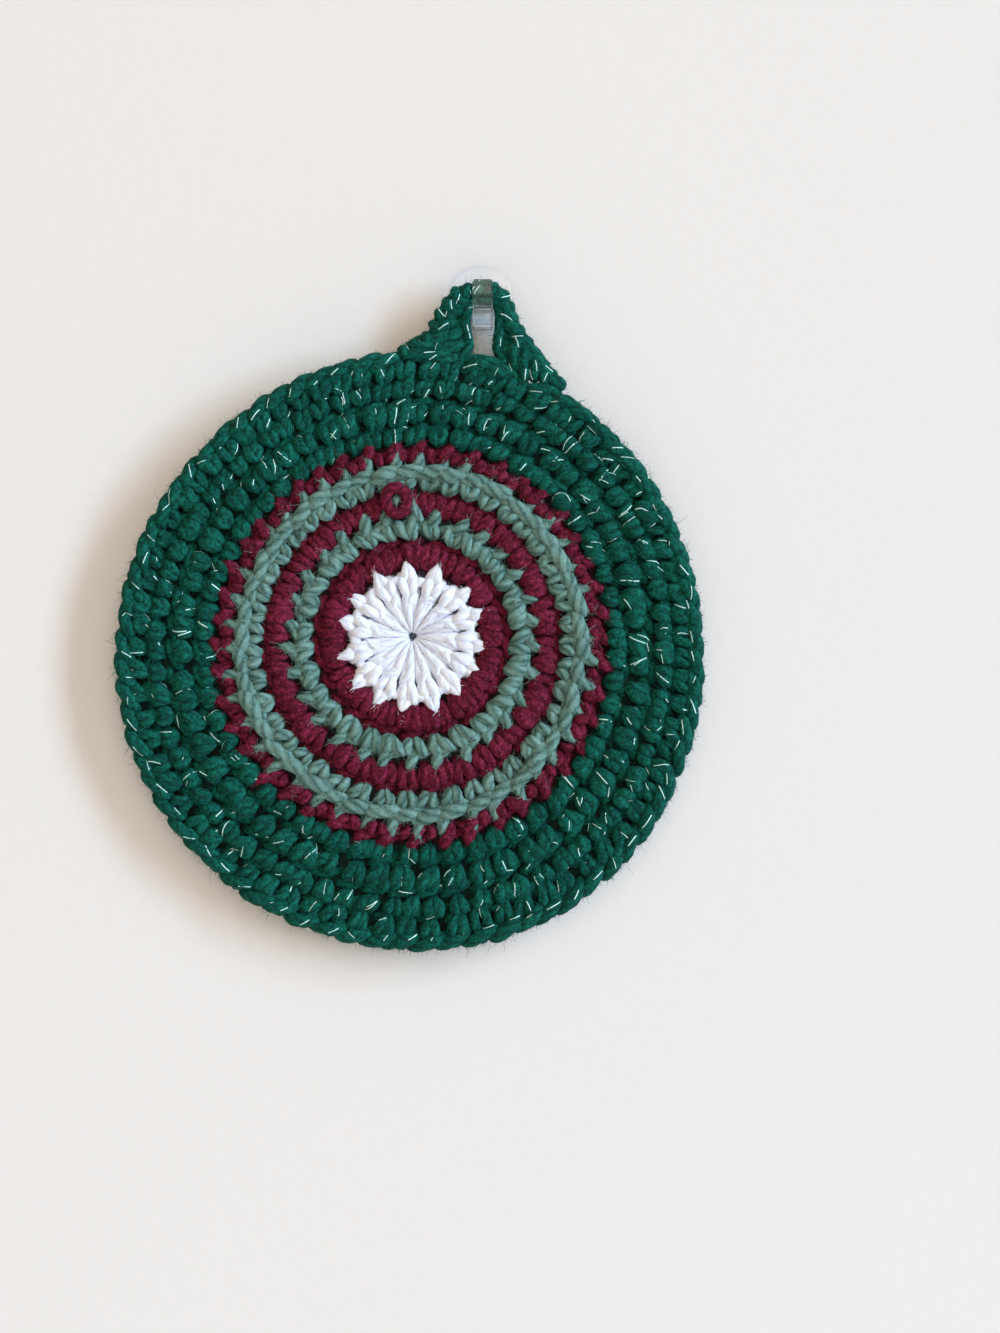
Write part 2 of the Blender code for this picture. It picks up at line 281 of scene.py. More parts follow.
def fuzz_on(yarn, fluff):
    """Short fibres close to the yarn all over its front."""
    root, out, along = fibre_roots(yarn, FUZZ_EACH, 2, FUZZ_FAN, FUZZ_SUNK)
    total = len(root)
    turn = more_than(0.0, math.tau, total)
    rise = out * more_than(0.15, 0.80, total)
    aside = np.cross(along, out)
    way = unit(np.cos(turn) * along + FUZZ_ASIDE * np.sin(turn) * aside + rise)
    across = unit(np.cross(way, out)) * FUZZ_WIDE * 0.5
    tip = root + way * fluff * FUZZ_LONG * more_than(0.5, 1.0, total)
    # painted sheen: the fuzz's tones run from 0.5 to 2.0, lighter than the yarn it grows on
    return Fibres(np.stack([root - across, root + across, tip], axis=1), TRIANGLE, 0.5, 2.0)


# %% Hairs
HAIRS_EACH = 12
HAIR_LONG = 3.0 * MM
HAIR_WIDE = 0.10 * MM
HAIR_SUNK = 0.05 * MM
HAIR_FAN = 1.7
HAIR_TURN = 1.2  # radians off the strand's own direction, to either side
HAIR_BEND = 0.6
RIBBON = ((0, 1, 3, 2), (2, 3, 5, 4))


def hairs_on(yarn, fluff):
    """Fine hairs that stand a little off the yarn and bend halfway."""
    root, out, along = fibre_roots(yarn, HAIRS_EACH, 3, HAIR_FAN, HAIR_SUNK)
    total = len(root)
    along = along * np.where(random.random(total) < 0.5, -1.0, 1.0)[:, None]
    turn = jitter((total, 1), HAIR_TURN)
    way = unit(np.cos(turn) * along + np.sin(turn) * np.cross(along, out))
    bend = unit(way + jitter((total, 3), HAIR_BEND))
    length = fluff * HAIR_LONG * more_than(0.5, 1.0, total)
    rise = more_than(0.10, 0.35, total) * MM
    middle = root + way * length * 0.5 + out * rise
    tip = middle + bend * length * 0.5 + out * rise * jitter((total, 1), 0.5)
    across = unit(np.cross(way, out)) * HAIR_WIDE * 0.5
    corners = [root - across, root + across, middle - across, middle + across,
               tip - across * 0.4, tip + across * 0.4]
    return Fibres(np.stack(corners, axis=1), RIBBON, 0.0, 1.0)


print("fibres on each strand:", FUZZ_EACH + HAIRS_EACH)

# %% [markdown]
# ## Finishes as sums
# A material's nodes read better as arithmetic than as a web of links. The small class below stands
# for one socket, and the signs + - * / ** on it add Math nodes, also where a plain number comes
# first. Anything else is one call that names the node, its settings and what goes into it.

# %% A socket as a number
def sign(operation):
    """The two methods behind a sign: with the socket first, and with it second."""
    def plain(self, other):
        return self.finish.math(operation, self, other)

    def reflected(self, other):
        return self.finish.math(operation, other, self)

    return plain, reflected


class Wire:
    """A socket that can be added, multiplied and so on, like a number."""

    def __init__(self, finish, socket):
        self.finish = finish
        self.socket = socket

    __add__, __radd__ = sign("ADD")
    __sub__, __rsub__ = sign("SUBTRACT")
    __mul__, __rmul__ = sign("MULTIPLY")
    __truediv__, __rtruediv__ = sign("DIVIDE")
    __pow__, __rpow__ = sign("POWER")

    def cosine(self):
        return self.finish.math("COSINE", self)


# %% A material, node by node
class Finish:
    """A material, built up one node at a time."""

    def __init__(self, name):
        self.material = bpy.data.materials.new(name)
        self.material.use_nodes = True
        self.tree = self.material.node_tree
        self.tree.nodes.clear()

    def node(self, kind, settings=None, inputs=None, out=0):
        """Add one node: its settings first, then its sockets, and give back one output."""
        made = self.tree.nodes.new("ShaderNode" + kind)
        for key, value in (settings or {}).items():
            if key == "stops":
                self.set_stops(made.color_ramp, value)
            elif key == "blend":
                made.color_ramp.interpolation = value
            else:
                setattr(made, key, value)
        for key, value in (inputs or {}).items():
            if isinstance(value, Wire):
                self.tree.links.new(value.socket, made.inputs[key])
            else:
                made.inputs[key].default_value = value
        return Wire(self, made.outputs[out]) if len(made.outputs) else None

    @staticmethod
    def set_stops(ramp, stops):
        while len(ramp.elements) < len(stops):
            ramp.elements.new(0.5)
        for element, (position, colour) in zip(ramp.elements, stops):
            element.position = position
            element.color = colour

    def math(self, operation, *values):
        return self.node("Math", {"operation": operation}, dict(enumerate(values)))

    def position(self):
        return self.node("NewGeometry", out="Position")

    def split(self, vector):
        """The three numbers of a vector."""
        return [self.node("SeparateXYZ", None, {0: vector}, out=i) for i in range(3)]

    def scaled(self, vector, by):
        return self.node("VectorMath", {"operation": "MULTIPLY"}, {0: vector, 1: by})

    def noise(self, vector, scale, detail=2.0, roughness=0.5):
        inputs = {"Vector": vector, "Scale": scale, "Detail": detail, "Roughness": roughness}
        return self.node("TexNoise", None, inputs)

    def ramp(self, value, stops, blend="LINEAR"):
        """Colours along a scale from 0 to 1."""
        return self.node("ValToRGB", {"stops": stops, "blend": blend}, {0: value})

    def mix(self, factor, first, second):
        """A colour between two others."""
        return self.node("Mix", {"data_type": "RGBA"}, {0: factor, 6: first, 7: second}, out=2)

    def either(self, factor, first, second):
        """A shader between two others."""
        return self.node("MixShader", None, {0: factor, 1: first, 2: second})

    def bump(self, height, distance=1.0):
        return self.node("Bump", None, {"Height": height, "Distance": distance, "Strength": 1.0})

    def shader(self, **inputs):
        """A Principled shader. Base_Color sets the socket Base Color."""
        named = {key.replace("_", " "): value for key, value in inputs.items()}
        return self.node("BsdfPrincipled", None, named)

    def close(self, surface):
        """Send a shader to the output and give back the finished material."""
        self.node("OutputMaterial", None, {"Surface": surface})
        print(f"finish {self.material.name}: {len(self.tree.nodes)} nodes")
        return self.material


# %% Colours as a screen shows them
BLACK = (0.0, 0.0, 0.0, 1.0)
WHITE = (1.0, 1.0, 1.0, 1.0)


def paint(red, green, blue):
    """A colour as seen on a screen, 0 to 255, turned into light."""
    light = [(v / 255 / 12.92) if v <= 10 else ((v / 255 + 0.055) / 1.055) ** 2.4
             for v in (red, green, blue)]
    return (*light, 1.0)


print("middle grey of a screen as light:", [round(v, 3) for v in paint(128, 128, 128)])


# %% [markdown]
# ## The yarn's finish
# Soft acrylic yarn is matt. Its plies show as slanted grooves, and each ply is a bundle of fine
# fibres that catch the light in streaks. Both are painted into the colour as well: painted shade at
# the bottom of the grooves, and a painted highlight in the streaks, strongest on the crests of the
# plies. A photo of yarn laid on the tubes would repeat, and it would run across the strands. So the
# grooves come from how far round the yarn a point is, and the streaks from noise stretched along the ply.

# %% Yarn finish
FIBRE_STRETCH = 0.45
FIBRES_ROUND = 7.0
STRANDS_APART = 50.0
GROOVE_DEEP = 0.16 * MM
FIBRE_DEEP = 0.14 * MM
MOTTLE_SCALE = 1000.0
YARN_COLOURS = {
    # painted shade in the grooves, body, bright fibres that carry the painted highlight;
    # how much the plies show and how mottled it is, 0 to 1
    "white": (paint(206, 211, 238), paint(238, 243, 255), paint(252, 254, 255), 0.6, 0.4),
    "burgundy": (paint(40, 5, 16), paint(90, 14, 36), paint(148, 46, 80), 0.4, 1.0),
    "sage": (paint(54, 86, 80), paint(102, 140, 132), paint(142, 180, 172), 1.0, 0.4),
    "green": (paint(0, 36, 31), paint(0, 73, 63), paint(16, 116, 98), 0.5, 1.0),
}


def yarn_finish(name, deep, body, bright, plied, mottled):
    f = Finish(name)
    run, ply, strand = f.split(f.node("Attribute", {"attribute_name": "yarn"}, out="Vector"))
    ridge = (ply * math.tau).cosine() * 0.5 + 0.5
    stretched = {0: run * FIBRE_STRETCH, 1: ply * FIBRES_ROUND, 2: strand * STRANDS_APART}
    fibre = f.noise(f.node("CombineXYZ", None, stretched), 1.0, detail=3.0, roughness=0.65)
    mottle = f.noise(f.position(), MOTTLE_SCALE, detail=3.0, roughness=0.6)
    patch = (mottle - 0.5) * mottled
    # painted shade: the body darkens towards the bottom of each ply groove, with random mottling
    groove_shade_and_mottle = f.mix((ridge ** 0.6 * plied + (1.0 - plied)) * (patch * 1.6 + 0.9), deep, body)
    streak = f.ramp(fibre, ((0.38, BLACK), (0.72, WHITE)))
    # painted highlight: fibre streaks, stronger on the ply crests, with random mottling and strand tone
    light = streak * (ridge * 0.5 + 0.3) + patch * 2.2 + (strand - 0.5) * 0.3
    relief = ridge ** 0.5 * GROOVE_DEEP * plied + fibre * FIBRE_DEEP + mottle * FIBRE_DEEP
    return f.close(f.shader(Base_Color=f.mix(light, groove_shade_and_mottle, bright), Roughness=0.9,
                            Normal=f.bump(relief), Specular_IOR_Level=0.18))


YARN = {colour: yarn_finish(colour + "_yarn", *values) for colour, values in YARN_COLOURS.items()}

# %% [markdown]
# ## A piece from many strands
# All strands of one round and one colour become one mesh, fibres and all. Thousands of separate
# objects would look the same, but they would be slow to handle and hard to name. Fibres that would
# reach into the wall are laid flat just in front of it.

# %% A piece from many strands
HAIR_BACK_Y = -0.1 * MM
FLUFF = {"white": 0.7, "burgundy": 1.15, "sage": 1.15, "green": 1.4}
batches_of = {}


def add_mesh(name, verts, faces):
    """One smooth-shaded mesh object."""
    mesh = bpy.data.meshes.new(name)
    mesh.from_pydata(verts.tolist(), [], faces)
    mesh.shade_smooth()
    piece = bpy.data.objects.new(name, mesh)
    bpy.context.scene.collection.objects.link(piece)
    return piece


def add_yarn_piece(name, yarns, colour, fluff=1.0):
    """Join several batches of strands into one piece of one colour. fluff scales its fibres."""
    fuzz = [fuzz_on(yarn, fluff) for yarn in yarns]
    hairs = [hairs_on(yarn, fluff) for yarn in yarns]
    verts, faces, marks = [], [], []
    total = 0
    for part in yarns + fuzz + hairs:
        v, f, m = part.mesh_data()
        verts.append(v)
        faces += (f + total).tolist()
        marks.append(m)
        total += len(v)
    verts = np.concatenate(verts)
    verts[:, 1] = np.minimum(verts[:, 1], HAIR_BACK_Y)
    piece = add_mesh(name, verts, faces)
    layer = piece.data.attributes.new("yarn", "FLOAT_VECTOR", "CORNER")
    layer.data.foreach_set("vector", np.concatenate(marks).astype(np.float32).ravel())
    piece.data.materials.append(YARN[colour])
    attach(piece, "root")
    batches_of[name] = yarns
    print(f"{name}: {sum(len(f) - 2 for f in faces)} triangles")
    return piece


# %% [markdown]
# ## Single crochet
# Seen from the front, a single crochet is a V: two plump legs that come out of one hole in the
# round below and part as they rise. Over their tops lies the front loop, a slanted strand that
# links the stitch to its neighbour. The next round's hole is just under that loop, so between two
# new stitches a tip of the old colour pokes through, which makes the toothed edges where the
# colours change. One stitch could be modelled and copied, but copies look knitted by a machine, so
# each is swept afresh from the same knots with a little hand in them.

# %% One table row for each round
Row = namedtuple("Row", (
    "piece", "yarn",
    "inner", "outer",  # mm from the middle
    "stitches",
    "lean",  # how far the tops run ahead of their holes, in stitches
    "legs_to", "open",  # how far up the legs reach, how far they part
    "pinch",  # over 1: the legs thin more towards their ends
    "leg", "loop",  # radius of the strands, mm
    "reach", "slant",  # how long the front loop is, sideways and outwards
    "rise",  # lift of the front loop, mm
    "tooth",  # length of the tip that pokes into the next round, mm
))
ROWS = [Row(*values) for values in (
    ("round_burgundy_1", "burgundy", 20.0, 28.9, 30, -0.15, 0.86, 1.0, 1.4, 1.80, 1.60, 1.0, 1.0, -0.8, 0.0),
    ("round_sage_1", "sage", 29.9, 35.4, 30, -0.45, 1.00, 1.0, 1.2, 1.80, 1.40, 1.0, 1.0, 0.4, 4.7),
    ("round_burgundy_2", "burgundy", 37.0, 45.0, 45, -0.15, 0.90, 1.0, 1.4, 1.75, 1.50, 1.0, 1.0, -0.7, 0.0),
    ("round_sage_2", "sage", 45.0, 51.9, 45, 0.10, 0.76, 1.0, 1.0, 1.66, 2.15, 1.2, 0.6, 1.8, 5.8),
    ("round_burgundy_3", "burgundy", 54.2, 58.2, 45, 0.15, 0.92, 1.0, 1.2, 1.60, 1.30, 1.0, 1.0, -0.3, 2.8),
    ("round_green_1", "green", 59.8, 65.1, 60, 0.10, 0.94, 0.76, 1.4, 1.76, 1.50, 1.1, 1.0, 0.2, 0.0),
    ("round_green_2", "green", 65.6, 73.2, 60, 0.10, 0.94, 0.76, 1.7, 1.94, 1.55, 1.1, 1.0, 0.2, 0.0),
    ("round_green_3", "green", 74.3, 80.0, 75, 0.20, 0.94, 0.78, 2.0, 1.78, 1.50, 1.1, 1.0, 0.2, 0.0),
    ("edge_round", "green", 79.2, 87.4, 75, 0.35, 0.84, 0.80, 0.9, 1.72, 1.60, 1.0, 1.0, 0.5, 0.0),
)]
print("stitches in the rounds:", [row.stitches for row in ROWS])

# %% Knots of a stitch
LEG_SIDE = (
    # share of the way up, sideways in half stitches, out mm, lift mm, thickness
    (1.00, -0.44, -0.5, -1.6, 0.60),
    (0.96, -0.53, -0.5, 0.2, 0.90),
    (0.74, -0.56, 0.0, 1.7, 1.08),
    (0.48, -0.47, 0.0, 2.0, 1.10),
    (0.24, -0.30, 0.0, 1.4, 0.92),
    (0.04, -0.08, -0.2, -0.9, 0.62),
)
LEGS = LEG_SIDE + tuple((up, -side, *rest) for up, side, *rest in reversed(LEG_SIDE))
FRONT_LOOP = (
    # sideways in half stitches times the reach, out mm, lift mm, thickness
    (-1.25, -2.8, -1.2, 0.70),
    (-0.85, -1.9, 0.2, 0.98),
    (-0.20, -0.8, 0.8, 1.06),
    (0.45, 0.2, 0.7, 1.0),
    (0.85, 0.6, 0.0, 0.85),
    (1.00, 0.2, -1.4, 0.60),
)
TOOTH = (
    # sideways in half stitches, out as a share of the tooth, lift mm, thickness
    (0.40, -0.50, 0.0, 0.9),
    (0.66, 0.00, 1.6, 1.2),
    (0.90, 0.50, 2.1, 1.1),
    (1.02, 0.92, 1.5, 0.78),
    (1.04, 0.86, -0.8, 0.5),
)
TOOTH_RADIUS = 1.50 * MM
print("knots in the legs, the loop and the tooth:", len(LEGS), len(FRONT_LOOP), len(TOOTH))


# %% Stitches by hand
KNOT_STRAY = 0.3 * MM
THICK_STRAY = 0.08
ROUND_STRAY = 0.5 * MM
DEPTH_STRAY = 0.45 * MM


def lay_strands(angle, rho, lift, thick, radius):
    """Sweep yarn through knots given by angle, radius and lift, with a little hand in them."""
    shape = angle.shape
    rho = rho + jitter(shape, KNOT_STRAY)
    angle = angle + jitter(shape, KNOT_STRAY) / rho
    lift = lift + jitter(shape, KNOT_STRAY)
    profile = thick * (1.0 + jitter(shape, THICK_STRAY))
    core = line_through(on_disc, angle, rho, lift)
    return Yarn(core, radius[:, None] * smooth(profile[..., None])[..., 0])


def single_crochet(row, base, top, pitch):
    """The V legs, the front loop and the tooth of every stitch in one round.

    The bare numbers that jitter gets are shares, but for the legs' slant, in half stitches.
    """
    count = len(base)
    each = (count, 1)
    low = row.inner * MM + jitter(each, ROUND_STRAY)
    high = row.outer * MM + jitter(each, ROUND_STRAY)
    deep = jitter(each, DEPTH_STRAY)
    share, side, out, lift, thick = columns(LEGS)
    share = share * row.legs_to
    side = side * row.open * (1.0 + jitter(each, 0.2)) + jitter(each, 0.5) * share
    angle = base[:, None] + (top - base)[:, None] * share + side * pitch * 0.5
    rho = low + (high - low) * share + out * MM
    lift = lift * MM * (1.0 + jitter(each, 0.12)) + deep
    radius = row.leg * MM * (1.0 + jitter(count, 0.14))
    strands = [lay_strands(angle, rho, lift, thick ** row.pinch, radius)]
    side, out, lift, thick = columns(FRONT_LOOP)
    angle = top[:, None] + side * row.reach * pitch * 0.5
    radius = row.loop * MM * (1.0 + jitter(count, 0.10))
    rho = high + out * row.slant * MM
    strands.append(lay_strands(angle, rho, (lift + row.rise) * MM + deep, thick, radius))
    if row.tooth:
        side, out, lift, thick = columns(TOOTH)
        long = row.tooth * MM * (1.0 + jitter(each, 0.2))
        rho = high + out * long
        angle = top[:, None] + side * pitch * 0.5
        radius = TOOTH_RADIUS * (1.0 + jitter(count, 0.12))
        strands.append(lay_strands(angle, rho, lift * MM, thick, radius))
    return strands


# %% One round after another
TWINS_APART = 0.62  # in stitches, between the two that share a hole
HOLE_PULL = 0.45
EVEN_PULL = 0.55


def work_round(row, hosts):
    """Crochet one round into the stitches of the last one, whose angles are the hosts.

    A stitch keeps partly to its hole and partly to the even spacing of its own round.
    """
    count = row.stitches
    index = np.arange(count)
    host = index * len(hosts) // count
    twins = np.bincount(host, minlength=len(hosts))[host]
    order = index - np.searchsorted(host, host)
    pitch = math.tau / count
    base = hosts[host] + np.where(twins > 1, (order - 0.5) * TWINS_APART * pitch, 0.0)
    even = math.tau * (index + 0.5) / count
    even = even + np.mean(base - even)
    base = HOLE_PULL * base + EVEN_PULL * even + jitter(count, 0.07) * pitch
    top = even + row.lean * pitch + jitter(count, 0.10) * pitch
    return single_crochet(row, base, top, pitch), top


# %% [markdown]
# ## The star in the middle
# The first round is fifteen double crochets in one small ring. Each is a tall post of two strands
# that are pinched thin at the ring and plump outside, with a wrap across them, a V at the top and
# a pointed tip where its loop turns down. A flat star with a bump map would lose its tips and the
# dark slits between its posts, so all six strands of each stitch are swept.

# %% Knots of the star
Strand = namedtuple("Strand", "radius_mm knots")
# each knot: sideways in stitches, radius mm, lift mm, thickness
POST = Strand(1.0, (
    (-0.10, 0.9, -1.2, 0.30),
    (-0.10, 2.6, 0.4, 0.58),
    (-0.12, 6.0, 1.5, 1.06),
    (-0.16, 9.6, 1.9, 1.34),
    (-0.20, 12.8, 1.5, 1.42),
    (-0.20, 15.2, -0.4, 0.9),
))
SIDE_POST = Strand(1.0, (
    (0.30, 2.4, -0.6, 0.28),
    (0.31, 4.4, 0.6, 0.45),
    (0.30, 7.4, 1.3, 0.80),
    (0.28, 10.6, 1.6, 1.10),
    (0.26, 13.6, 1.2, 1.25),
    (0.20, 15.4, -0.6, 0.8),
))
WRAP = Strand(1.1, (
    (-0.38, 8.6, 0.2, 0.6),
    (-0.18, 10.2, 2.1, 0.9),
    (0.08, 12.0, 2.4, 1.0),
    (0.30, 13.6, 1.8, 0.9),
    (0.42, 14.6, 0.0, 0.6),
))
BETWEEN = Strand(1.40, (
    (0.06, 16.0, 0.0, 0.8),
    (0.24, 17.1, 1.7, 1.0),
    (0.42, 17.7, 1.9, 1.05),
    (0.60, 17.7, 1.6, 1.0),
    (0.78, 16.9, 0.2, 0.8),
))
TOP_V = Strand(1.62, (
    (-0.20, 19.9, -0.7, 0.7),
    (-0.25, 18.8, 1.2, 0.95),
    (-0.24, 16.6, 2.3, 1.15),
    (-0.16, 14.0, 2.1, 1.0),
    (-0.02, 11.8, 0.4, 0.7),
    (0.05, 12.2, 0.4, 0.7),
    (0.17, 14.4, 1.9, 1.0),
    (0.22, 16.8, 2.0, 1.15),
    (0.22, 18.7, 1.0, 0.95),
    (0.16, 19.7, -0.7, 0.7),
))
TIP = Strand(1.40, (
    (-0.24, 16.6, 0.2, 0.9),
    (-0.09, 19.6, 2.3, 1.05),
    (-0.015, 23.0, 2.5, 0.50),
    (0.015, 23.0, 2.4, 0.50),
    (0.09, 19.6, 2.3, 1.05),
    (0.24, 16.6, 0.2, 0.9),
))
STAR_STRANDS = (POST, SIDE_POST, WRAP, BETWEEN, TOP_V, TIP)
print("strands in a star stitch:", len(STAR_STRANDS))

# %% The star
STAR_STITCHES = 15
STAR_CALM = 12.0
FIRST_POST = -math.radians(4.1)
STAR_TURN = Wave(1, math.radians(5.3), 70)
STAR_DROP = Wave(1, 0.05, 160)
STAR_HOLE = Wave(3, 0.30 * MM, 200)


def star_strands(at, strand):
    """One strand of every star stitch. Inside STAR_CALM mm they stray less.

    jitter gets shares of a stitch, mm for the radius, and a share of the yarn's thickness.
    """
    across, rho, lift, thick = columns(strand.knots)
    each = (len(at), 1)
    pitch = ((np.roll(at, -1) - np.roll(at, 1)) % math.tau / 2)[:, None]
    angle = at[:, None] + across * pitch + jitter(each, 0.04) * pitch
    angle = angle + jitter(each, 0.10) * pitch * (rho - STAR_CALM) / 10.0
    calm = np.clip(rho / STAR_CALM, 0.0, 1.0)
    rho = (rho * (1.0 + wave(STAR_DROP, at[:, None])) + calm * jitter(each, 0.5)) * MM
    rho = rho + np.clip(1.0 - 2.0 * calm, 0.0, 1.0) * wave(STAR_HOLE, at[:, None])
    angle = angle + calm * jitter(angle.shape, 0.03) * pitch
    core = line_through(on_disc, angle, rho, lift * MM)
    radius = strand.radius_mm * MM * (1.0 + jitter(each, 0.07))
    return Yarn(core, radius * thickness(thick, len(at)))


star_at = math.tau * np.arange(STAR_STITCHES) / STAR_STITCHES + FIRST_POST
star_at = star_at + wave(STAR_TURN, star_at)
star = [star_strands(star_at, strand) for strand in STAR_STRANDS]
add_yarn_piece("star_stitches", star, "white", FLUFF["white"])

# %% [markdown]
# ## The rounds of stitches
# Each round is hooked into the one before, so it starts from the places where that one's stitches
# ended. Spacing every round evenly by itself would be simpler, but then no V would come out of a
# hole. Where a round has more stitches than the last, two of them share one hole.

# %% Work the rounds
*inner_rows, edge_row = ROWS
hosts = star_at + 0.5 * math.tau / STAR_STITCHES
for row in inner_rows:
    batches, hosts = work_round(row, hosts)
    add_yarn_piece(row.piece, batches, row.yarn, FLUFF[row.yarn])

# %% [markdown]
# ## The rim
# The last round's loops are not covered by another round, so they lie over the rim like a rope.
# The loops of the other rounds lie too flat for that. So this round keeps its legs, and each loop
# is a fat slanted strand that starts on the front and turns down over the edge, with a twin on the
# back. Both leave room where the feet of the hanging loop are worked in.

# %% Rim strands
# each knot: sideways in half stitches, radius mm, lift mm, thickness
RIM_FRONT = Strand(1.95, (
    (-1.60, 84.6, 0.6, 0.7),
    (-1.10, 85.6, 2.1, 0.95),
    (-0.25, 86.9, 2.5, 1.05),
    (0.60, 87.9, 1.4, 1.0),
    (1.15, 88.0, -0.2, 0.85),
    (1.50, 87.0, -1.4, 0.6),
))
RIM_BACK = Strand(1.35, (
    (-1.30, 87.4, 0.6, 0.7),
    (-0.80, 88.2, -0.2, 1.0),
    (-0.10, 87.6, -1.1, 1.05),
    (0.60, 85.9, -1.3, 0.95),
    (1.10, 84.2, -1.0, 0.7),
))
LOOP_FEET = np.radians(((-1.5, 10.5), (19.0, 24.0)))


def rim_strands(at, pitch, strand):
    side, rho, lift, thick = columns(strand.knots)
    angle = at[:, None] + side * pitch * 0.5
    rho = rho * MM + jitter((len(at), 1), 0.25 * MM)
    radius = strand.radius_mm * MM * (1.0 + jitter(len(at), 0.08))
    return lay_strands(angle, rho, lift * MM, thick, radius)


# %% Work the rim
(edge_legs, _), hosts = work_round(edge_row, hosts)
edge_pitch = math.tau / edge_row.stitches
turned = ((hosts + math.pi) % math.tau - math.pi)[:, None]
under_foot = np.any((turned > LOOP_FEET[:, 0]) & (turned < LOOP_FEET[:, 1]), axis=1)
free = hosts[~under_foot]
edge = [edge_legs,
        rim_strands(free, edge_pitch, RIM_FRONT),
        rim_strands(free + 0.3 * edge_pitch, edge_pitch, RIM_BACK)]
add_yarn_piece("edge_round", edge, "green", FLUFF["green"])

# %% [markdown]
# ## The hanging loop
# The loop is a narrow crocheted band, bent into an arch over the hook and wider on its left leg.
# A tube along one curve would be quick, but it can't widen into two feet. So the arch is given by
# its outer and inner edge, and a place on it is how far along it lies and how deep in.

# %% The arch of the loop
LOOP_Y = -6.75 * MM
BAND = (
    # outer x, outer z, inner x, inner z, in mm
    (-28.0, -14.5, -6.5, -19.0),
    (-23.0, -11.4, -3.6, -15.6),
    (-18.0, -8.6, -2.2, -11.6),
    (-14.9, -2.6, -2.9, -6.6),
    (-12.0, 2.0, -2.8, -2.4),
    (-7.6, 6.6, -2.2, -0.4),
    (0.6, 7.9, 0.8, 0.0),
    (6.6, 6.4, 3.8, -0.4),
    (10.2, 1.0, 4.1, -2.4),
    (12.9, -5.8, 4.0, -7.4),
    (17.8, -13.4, 3.4, -12.6),
    (23.2, -20.6, 6.4, -17.6),
    (28.5, -26.5, 12.0, -23.0),
)
band_line = smooth(np.array(BAND)[None], 12)[0] * MM
band_mid = 0.75 * band_line[:, :2] + 0.25 * band_line[:, 2:]
band_steps = np.linalg.norm(np.diff(band_mid, axis=0), axis=1)
band_run = np.concatenate([[0.0], np.cumsum(band_steps)])
band_width = np.linalg.norm(band_line[:, :2] - band_line[:, 2:], axis=1)
band_long = band_run[-1]


def width_at(run):
    return np.interp(run, band_run, band_width)


def on_band(run, depth, lift):
    """World points on the band: along it, in from its outer edge, and off its middle."""
    outer_x, outer_z, inner_x, inner_z = (np.interp(run, band_run, line) for line in band_line.T)
    share = depth / width_at(run)
    x = outer_x + (inner_x - outer_x) * share
    z = outer_z + (inner_z - outer_z) * share
    return np.stack([x, LOOP_Y - lift, z], axis=-1)


print("length of the loop's band, mm:", round(1000 * band_long, 1))

# %% [markdown]
# ## Stitches of the loop
# Its outer edge is worked like the rim, with wraps that turn over it. A chain runs along its inner
# edge, and rows of slanted legs fill the feet where they are wide. A sheet inside the band would
# keep light from passing between the stitches, but it would have to follow the arch, and two broad
# flat strands already do.

# %% Knots of the loop's strands
# each knot: along in stitches, in from the edge or row mm, lift mm, thickness
BAND_WRAP = (
    (-0.50, 5.4, -0.2, 0.7),
    (-0.36, 4.4, 0.9, 1.0),
    (-0.08, 3.0, 1.2, 1.10),
    (0.16, 1.9, 0.7, 1.05),
    (0.26, 1.6, -0.3, 1.0),
    (0.20, 2.4, -1.2, 0.95),
    (0.05, 4.0, -1.3, 0.9),
    (-0.10, 5.4, -0.8, 0.7),
)
BAND_LEG = (
    (-0.42, -2.0, -0.4, 0.7),
    (-0.30, -1.3, 1.0, 1.0),
    (0.00, 0.0, 1.6, 1.1),
    (0.30, 1.2, 1.1, 1.0),
    (0.42, 1.9, -0.4, 0.7),
)
BAND_CHAIN = (
    (-0.95, -0.9, -0.4, 0.7),
    (-0.60, -0.4, 0.8, 0.95),
    (0.00, 0.0, 1.1, 1.05),
    (0.55, 0.0, 0.5, 0.95),
    (0.90, -0.1, -0.6, 0.7),
)
BRIDGE = (
    # x, y, z mm: the strand at the foot of the eye
    (-6.0, -7.4, -15.6),
    (-3.0, -8.2, -15.7),
    (0.5, -8.3, -15.9),
    (4.0, -8.2, -16.7),
    (7.0, -7.4, -17.6),
)


# %% Stitches of the loop
def band_strands(at, pitch, knots, radius_mm, depth=0.0, side=1.0, from_inner=False):
    """Strands at places along the band, so deep in from its outer or inner edge.

    side is 1 for the front and a negative number for the back.
    """
    along, inward, lift, thick = columns(knots)
    run = at[:, None] + along * pitch
    start = width_at(run) - depth if from_inner else depth
    inward = start + inward * MM + jitter(run.shape, 0.2 * MM)
    lift = lift * side * MM + jitter(run.shape, 0.12 * MM)
    core = line_through(on_band, run, inward, lift)
    radius = radius_mm * MM * (1.0 + jitter((len(at), 1), 0.08))
    return Yarn(core, radius * thickness(thick, len(at)))


def band_tier(depth_mm, pitch_mm, room_mm=3.6):
    """A row of slanted strands this far in, where the band is wide enough, for front and back."""
    pitch = pitch_mm * MM
    at = np.arange(3.0 * MM + jitter((), 1.0 * MM), band_long - 3.0 * MM, pitch)
    least = np.min([width_at(at + d * MM) for d in (-room_mm, 0.0, room_mm)], axis=0)
    at = at[least > (depth_mm + room_mm) * MM]
    return [band_strands(at, 1.5 * pitch, BAND_LEG, 1.60, depth_mm * MM),
            band_strands(at, 1.5 * pitch, BAND_LEG, 1.50, depth_mm * MM, -0.9)]


def band_core(share):
    """A broad flat strand inside the band, this share of the way in."""
    run = np.linspace(2.0 * MM, band_long - 8.0 * MM, 60)[None]
    core = on_band(run, share * width_at(run), 0.0 * run)
    return Yarn(core, np.clip(0.24 * width_at(run), 1.2 * MM, None), flatten=0.32)


